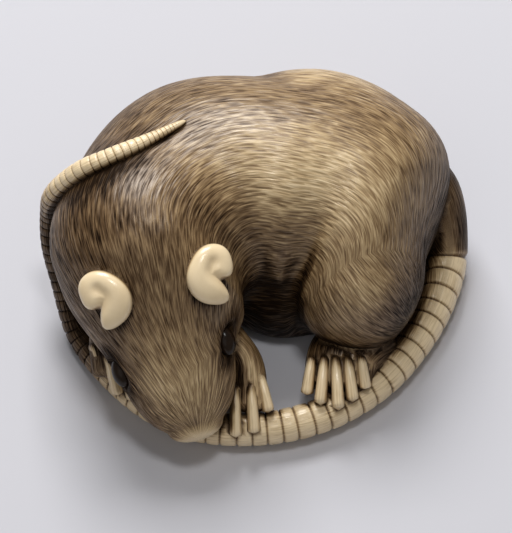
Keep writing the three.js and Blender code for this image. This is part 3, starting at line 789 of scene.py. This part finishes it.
def ringed_tail(curve):
    """The tail: a circle carried along its line. Grooves part it into rings of about RING_LENGTH half
    thicknesses, each a little crowned."""
    length = curve[2][-1]
    starts = [RINGS_START]
    while starts[-1] < RINGS_STOP:
        uneven = 1 + RING_UNEVENNESS * (stirred(len(starts), 0, 7) - 0.5)
        starts.append(starts[-1] + RING_LENGTH * uneven * tail_half(starts[-1]) / length)
    starts = np.array(starts)
    ways = np.array(RING_WAYS)
    rings = (starts[:-1, None] + np.diff(starts)[:, None] * ways).ravel()
    way = np.tile(ways, len(starts) - 1)
    root = np.linspace(0, RINGS_START, TAIL_ROOT_ROWS, endpoint=False)
    tip = np.linspace(starts[-1], 1, TAIL_TIP_ROWS)
    shares = np.concatenate([root, rings, tip])
    way = np.concatenate([0 * root + 0.5, way, 0 * tip + 0.5])
    edge = np.minimum(way, 1 - way)
    groove = ramp(RING_GROOVE_WIDTH, 0.0, edge)
    half = tail_half(shares) * (1 - RING_GROOVE * groove - RING_CROWN * (1 - 2 * edge) ** 2)
    half = TAIL_TRIM * half * rounded_ends(shares, TAIL_ROUNDING, TAIL_ROUNDING)
    place, _ = along_curve(curve, shares)
    grid, angle, along = tube(curve, shares, half, half, place - TAIL_HUB, TAIL_SIDES)
    bare = ramp(*TAIL_BARE, shares)
    bare = np.broadcast_to(bare[:, None], grid.shape[:2])
    groove = np.broadcast_to(groove[:, None], grid.shape[:2])
    # Stain and painted shade on the side towards the body, and a darker stretch on the left
    inner = TAIL_INNER_STAIN_AND_SHADE * ramp(*TAIL_INNER, np.sin(angle))[None]
    left = TAIL_LEFT_DARKENING * ramp(*TAIL_LEFT_FROM, shares) * ramp(*TAIL_LEFT_TO, shares)
    dark = np.maximum(inner, left[:, None]) * bare
    round_it = angle[None] * tail_half(shares)[:, None]
    fibre = np.stack(np.broadcast_arrays(round_it, along[:, None], TAIL_FIBRES), -1)
    return above_floor(grid), dict(groove=groove, bare=bare, dark=dark, fibre=fibre)


def ear_frame(side):
    """An ear's middle, and its axes out from the head's middle, back and off the head."""
    off = off_head(side, EAR_FACING_LEAN)
    middle = on_head(EAR_BACKS[side], side, EAR_PLACE_LEANS[side]) + off * EAR_LIFT
    return middle, np.array([-side * np.cross(HEAD_FRAME[0], off), HEAD_FRAME[0], off])


def ear(side):
    """An ear: round its middle the edge lies as EAR_EDGE gives it, and from pole to pole the section is a
    cushion, an ellipse with its cosines and sines raised to EAR_SQUARENESS. A soft hollow curls over its top.
    """
    middle, axes = ear_frame(side)
    polar = np.linspace(0, np.pi, EAR_ROWS + 1)[:, None]
    angle = EAR_EDGE[0, 0] + np.linspace(0, 360, EAR_SIDES, endpoint=False)
    reach = station(EAR_EDGE, angle)[:, 0] * np.sin(polar) ** EAR_SQUARENESS
    rise = EAR_HALF_HEIGHT * np.sign(np.cos(polar)) * np.abs(np.cos(polar)) ** EAR_SQUARENESS
    out, back = reach * np.cos(np.radians(angle)), reach * np.sin(np.radians(angle))
    local = np.stack(np.broadcast_arrays(out, back, rise), -1)
    line = along_curve(curve_through(EAR_HOLLOW), np.linspace(0, 1, 30))[0]
    aside = np.linalg.norm(local[:, :, None, :2] - line[:, :2], axis=-1).min(-1)
    hollow = np.exp(-((aside / EAR_HOLLOW_HALF) ** 2)) * (rise > 0)
    local[..., 2] -= EAR_HOLLOW_DEPTH * hollow
    bare = np.ones(reach.shape)
    # Painted shade in the hollow
    dark = EAR_HOLLOW_SHADE * hollow
    fibre = np.full((*reach.shape, 3), EAR_FIBRES)
    return middle + local @ axes, dict(groove=0 * bare, bare=bare, dark=dark, fibre=fibre)


def joined(piece, other):
    """Makes one closed skin of two objects that run into each other."""
    join = piece.modifiers.new("join", "BOOLEAN")
    join.operation = "UNION"
    join.solver = "MANIFOLD"
    join.object = other
    bpy.context.view_layer.objects.active = piece
    bpy.ops.object.modifier_apply(modifier=join.name)
    bpy.data.objects.remove(other)


def read(mesh, name):
    """A number that the points of a mesh carry, as an array."""
    values = np.zeros(len(mesh.vertices), np.float32)
    mesh.attributes[name].data.foreach_get("value", values)
    return values


def rod_distance(p, places, halves):
    """Distance from a row of balls: the least distance from a middle, less that ball's size."""
    nearest = np.full(len(p), FARTHEST, np.float32)
    for place, half in zip(places.astype(np.float32), halves):
        nearest = np.minimum(nearest, np.linalg.norm(p - place, axis=1) - half)
    return nearest


def make_rat():
    """The whole carving as one skin; stain, painted shade and sheen come from the cuts, hollows, wear and
    light.
    """
    body = Shells()
    grid, carried = furred_body()
    body.add(grid, **carried)
    curve = tail_curve()
    outgrowths = [ringed_tail(curve)] + [ear(side) for side in (-1, 1)]
    outgrowths += [limb(rows) for rows in LIMBS] + [toe(line) for line in TOES]
    rat = body.mesh("rat")
    pieces = []
    for grid, carried in outgrowths:
        shell = Shells()
        shell.add(grid, **carried)
        pieces.append(shell.mesh("outgrowth"))
    for other in pieces[1:]:
        joined(pieces[0], other)
    joined(rat, pieces[0])
    stain_rat(rat, curve)
    return rat


def surroundings(curve):
    """What stands on the body, as rows of balls: places and sizes along the tail, ears, limbs and toes."""
    shares = np.linspace(0, 1, 260)
    rods = [(along_curve(curve, shares)[0], tail_half(shares))]
    for side in (-1, 1):
        middle, axes = ear_frame(side)
        rods.append((middle + EAR_BALLS @ axes, np.full(len(EAR_BALLS), EAR_HALF_HEIGHT)))
    for rows in LIMBS:
        rows = np.array(rows)
        t = np.linspace(0, 1, 12)
        table = np.column_stack([np.linspace(0, 1, len(rows)), rows[:, 3:].min(1)])
        rods.append((along_curve(curve_through(rows[:, :3]), t)[0], station(table, t)[:, 0]))
    for line in TOES:
        start, end = np.array(line)
        t = np.linspace(0, 1, 8)[:, None]
        rods.append((start + (end - start) * t - UPRIGHT * TOE_HALF_WIDTH, np.full(len(t), TOE_HALF_WIDTH)))
    return np.concatenate([r[0] for r in rods]), np.concatenate([r[1] for r in rods])


def hollowness(p, off, reach, places, halves):
    """How far a place lies in a hollow: 0 where the carving stays clear for a reach, 1 in a tight crease."""
    seen = p + off * reach
    clear = np.minimum(body_distance(seen), rod_distance(seen.astype(np.float32), places, halves))
    return np.clip(1 - clear / (NEAR_SHARE * reach), 0, 1)


def bell(value, middle, half):
    """1 at a middle, fading like a bell over a half width."""
    return np.exp(-(((value - middle) / half) ** 2))


def patch(x, y, place):
    """A patch that fades like a bell in X and in Y."""
    return bell(x, place[0], place[2]) * bell(y, place[1], place[3])


def stain_places(p, off):
    """Where the fur's stain, painted shade and sheen differ by place, from 0 to about 1, given directions off
    the skin.
    """
    x, y, z = p.T
    # Painted deep shade on the belly's wall inside the opening for the cord
    wall_shade = ramp(*WALL_FRONT_Y, y) * ramp(*WALL_REAR_Y, y) * ramp(*WALL_Z, z)
    far = ramp(*SMUDGE_Y, y) * ramp(*SMUDGE_Z, z)
    # Wear and painted light: faces that turn upwards are lighter, and the ridge carries a painted sheen
    top = WEAR_AND_SHEEN["top"] * ramp(*TOP_X, x) * ramp(*TOP_Z, z) + WEAR_AND_SHEEN["ridge_sheen"] * patch(x, y, RIDGE_SHEEN_PATCH)
    worn_and_sheen = ramp(*UPWARD, off[:, 2]) * top
    worn_and_sheen = worn_and_sheen + WEAR_AND_SHEEN["haunch"] * patch(x, y, HAUNCH_PATCH) * ramp(*HAUNCH_Z, z)
    worn_and_sheen = worn_and_sheen + WEAR_AND_SHEEN["rim"] * bell(x, *RIM_PATCH) * ramp(*RIM_Y, y)
    # The painted shadow of the climbing tail on the body in front of it
    tail_shadow = bell((p[:, :2] - BAND_PLACE) @ BAND_ACROSS, BAND_MIDDLE, BAND_HALF)
    return {
        "worn_and_sheen": worn_and_sheen,
        "snout": ramp(*SNOUT_BACK, (p - NOSE) @ HEAD_FRAME[0]) * ramp(*SNOUT_UPWARD, off @ HEAD_FRAME[2]),
        "wall_shade": wall_shade * ramp(*WALL_ASIDE, np.abs(x - OPENING[0])),
        "shoulder": ramp(*SHOULDER_X, x),
        # Painted shade on the nape, behind the ears
        "nape_shade": patch(x, y, NAPE_PATCH) * ramp(*NAPE_Z, z),
        "smudge": bell(x, *SMUDGE_PATCH) * far,
        # Painted shade on the flank that faces right and down, away from the light
        "flank": ramp(*FLANK_RIGHTWARD, off[:, 0]) * ramp(*FLANK_Z, z) * ramp(*FLANK_X, x),
        "tail_shadow": tail_shadow * ramp(*BAND_LEFT_X, x) * ramp(*BAND_RIGHT_X, x) * ramp(*BAND_Z, z),
    }


def stain_rat(rat, curve):
    """Works out the stain of each point, from 0 for bare ivory to 1 for the darkest brown: stain lies in the
    cuts and hollows, painted shade darkens the hollows and the sides out of the light, and wear with a
    painted sheen lightens the top of the back and what stands out."""
    mesh = rat.data
    p = np.zeros(len(mesh.vertices) * 3, np.float32)
    off = np.zeros(len(mesh.vertices) * 3, np.float32)
    mesh.vertices.foreach_get("co", p)
    mesh.vertices.foreach_get("normal", off)
    p = p.reshape(-1, 3) / METRES + OUTLINE_MIDDLE
    off = off.reshape(-1, 3)
    places, halves = surroundings(curve)
    shares = {name: read(mesh, name) for name in ("groove", "bare", "dark")}
    shares["ground"] = 1.0
    # Stain gathers in the hollows, and their darkening is painted shade as well
    shares["crease"] = hollowness(p, off, CREASE_REACH, places, halves)
    shares["valley_stain_and_shade"] = hollowness(p, off, VALLEY_REACH, places, halves)
    shares.update(stain_places(p, off))
    fur = sum(amount * shares[name] for name, amount in FUR_STAIN_AND_PAINTED_LIGHT.items())
    plain = sum(amount * shares[name] for name, amount in BARE_STAIN_AND_PAINTED_SHADE.items())
    # The stain attribute carries the painted shade and sheen too
    stain = np.clip(fur + (plain - fur) * shares["bare"], 0, 1).astype(np.float32)
    mesh.attributes.new("stain", "FLOAT", "POINT").data.foreach_set("value", stain)


def make_eye(side, name):
    """An eye: an ellipsoid on a grid of its angles, set in its socket."""
    middle, axes = eye_axes(side)
    polar = np.linspace(0, np.pi, EYE_ROWS + 1)[:, None]
    turn = np.linspace(0, 2 * np.pi, EYE_SIDES, endpoint=False)[None]
    sides = np.sin(polar) * np.cos(turn), np.sin(polar) * np.sin(turn)
    ball = np.stack(np.broadcast_arrays(np.cos(polar), *sides), -1)
    shell = Shells()
    shell.add(middle + (ball * EYE_HALF) @ axes)
    return shell.mesh(name)


def material(name):
    """A material with a bare shader, ready for its nodes."""
    made = bpy.data.materials.new(name)
    made.use_nodes = True
    tree = made.node_tree
    return made, tree, tree.nodes["Principled BSDF"]


def add_node(tree, kind, inputs=(), **settings):
    """Adds a shader node. inputs pairs a socket's name or number with a value or with a socket to link."""
    made = tree.nodes.new("ShaderNode" + kind)
    for key, value in settings.items():
        setattr(made, key, value)
    for key, value in dict(inputs).items():
        if isinstance(value, bpy.types.NodeSocket):
            tree.links.new(value, made.inputs[key])
        else:
            made.inputs[key].default_value = value
    return made


def stained_ivory():
    """Ivory from cream where it is bare to dark brown where the stain and painted shade lie, streaked along
    the fibres.
    """
    made, tree, shader = material("stained_ivory")
    stain = add_node(tree, "Attribute", attribute_name="stain").outputs["Fac"]
    fibre = add_node(tree, "Attribute", attribute_name="fibre").outputs["Vector"]
    stretched = add_node(tree, "Mapping", {"Vector": fibre, "Scale": (7.5, 0.4, 1.0)})
    strand = add_node(tree, "TexNoise", {"Vector": stretched.outputs[0], "Scale": 1.0, "Detail": 2.0})
    strand = strand.outputs["Fac"]
    place = add_node(tree, "TexCoord").outputs["Object"]
    mottle = add_node(tree, "TexNoise", {"Vector": place, "Scale": 320.0, "Detail": 4.0}).outputs["Fac"]
    streak = add_node(tree, "MapRange", {0: strand, 1: 0.36, 2: 0.64, 3: -0.15, 4: 0.15}).outputs[0]
    cloud = add_node(tree, "MapRange", {0: mottle, 1: 0.25, 2: 0.75, 3: -0.08, 4: 0.08}).outputs[0]
    total = add_node(tree, "Math", {0: stain, 1: streak}, operation="ADD").outputs[0]
    total = add_node(tree, "Math", {0: total, 1: cloud}, operation="ADD").outputs[0]
    colours = add_node(tree, "ValToRGB", {"Fac": total})
    steps = colours.color_ramp.elements
    while len(steps) < len(IVORY_COLOURS):
        steps.new(0.5)
    for step, (position, colour) in zip(steps, IVORY_COLOURS):
        step.position = position
        step.color = (*colour, 1)
    gloss = add_node(tree, "MapRange", {0: total, 1: 0.0, 2: 1.0, 3: 0.24, 4: 0.48}).outputs[0]
    bump = add_node(tree, "Bump", {"Strength": 0.5, "Distance": 0.0001, "Height": strand})
    tree.links.new(colours.outputs["Color"], shader.inputs["Base Color"])
    tree.links.new(gloss, shader.inputs["Roughness"])
    shine = add_node(tree, "MapRange", {0: total, 1: 0.6, 2: 1.0, 3: 0.5, 4: 0.05}).outputs[0]
    tree.links.new(shine, shader.inputs["Specular IOR Level"])
    tree.links.new(bump.outputs["Normal"], shader.inputs["Normal"])
    shader.inputs["IOR"].default_value = 1.54
    return made


def dark_horn():
    """Polished dark horn with a faint brown cloud in it."""
    made, tree, shader = material("dark_horn")
    place = add_node(tree, "TexCoord").outputs["Object"]
    cloud = add_node(tree, "TexNoise", {"Vector": place, "Scale": 900.0, "Detail": 2.0}).outputs["Fac"]
    colours = add_node(tree, "ValToRGB", {"Fac": cloud})
    for step, colour in zip(colours.color_ramp.elements, HORN_COLOURS):
        step.color = colour
    tree.links.new(colours.outputs["Color"], shader.inputs["Base Color"])
    shader.inputs["Roughness"].default_value = 0.2
    shader.inputs["IOR"].default_value = 1.45
    shader.inputs["Specular IOR Level"].default_value = 0.25
    return made


def finish_piece(piece, node, finish):
    """Gives a piece its material, smooth faces and its body, and hides the CAD part that it stands for."""
    piece.data.materials.clear()
    piece.data.materials.append(finish)
    piece.data.shade_smooth()
    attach(piece, "root")
    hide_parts(node)


def make_stage():
    """A plain pale floor, soft light from above and behind, and a weak fill from the front."""
    data = bpy.data.meshes.new("floor")
    corners = [(-1, -1), (1, -1), (1, 1), (-1, 1)]
    data.from_pydata([(x * FLOOR_HALF, y * FLOOR_HALF, -FLOOR_DROP) for x, y in corners], [], [(0, 1, 2, 3)])
    floor = bpy.data.objects.new("floor", data)
    bpy.context.scene.collection.objects.link(floor)
    made, _, shader = material("pale_floor")
    shader.inputs["Base Color"].default_value = FLOOR_COLOUR
    shader.inputs["Roughness"].default_value = 0.8
    data.materials.append(made)
    world = bpy.data.worlds.new("studio")
    world.use_nodes = True
    sky = world.node_tree.nodes["Background"]
    sky.inputs["Color"].default_value = SKY_COLOUR
    sky.inputs["Strength"].default_value = SKY_STRENGTH
    bpy.context.scene.world = world
    for name, place, size, power in LAMPS:
        light = bpy.data.lights.new(name, "AREA")
        light.energy = power
        light.size = size
        lamp = bpy.data.objects.new(name, light)
        lamp.location = place
        aim = -np.array(place) / np.linalg.norm(place)
        lamp.rotation_euler = (math.acos(-aim[2]), 0, math.atan2(-aim[0], aim[1]))
        bpy.context.scene.collection.objects.link(lamp)


def make_camera():
    """The camera at the photograph's angle: it looks along +Y and down, at the middle of the rat."""
    data = bpy.data.cameras.new("camera")
    data.sensor_fit = "VERTICAL"
    data.angle = 2 * math.atan(CAMERA_FRAME_HEIGHT / 2 / CAMERA_DISTANCE)
    lift = math.radians(CAMERA_ELEVATION)
    back = np.array([0, -math.cos(lift), math.sin(lift)]) * CAMERA_DISTANCE
    camera = bpy.data.objects.new("camera", data)
    camera.location = (CAMERA_TARGET - OUTLINE_MIDDLE + back) * METRES
    camera.rotation_euler = (math.pi / 2 - lift, 0, 0)
    bpy.context.scene.collection.objects.link(camera)
    bpy.context.scene.camera = camera


make_camera()
make_stage()
rat = make_rat()
ivory, horn = stained_ivory(), dark_horn()
finish_piece(rat, "rat", ivory)
finish_piece(make_eye(-1, "left_eye_inlay"), "left_eye", horn)
finish_piece(make_eye(1, "right_eye_inlay"), "right_eye", horn)
bpy.context.scene.view_settings.view_transform = "Standard"
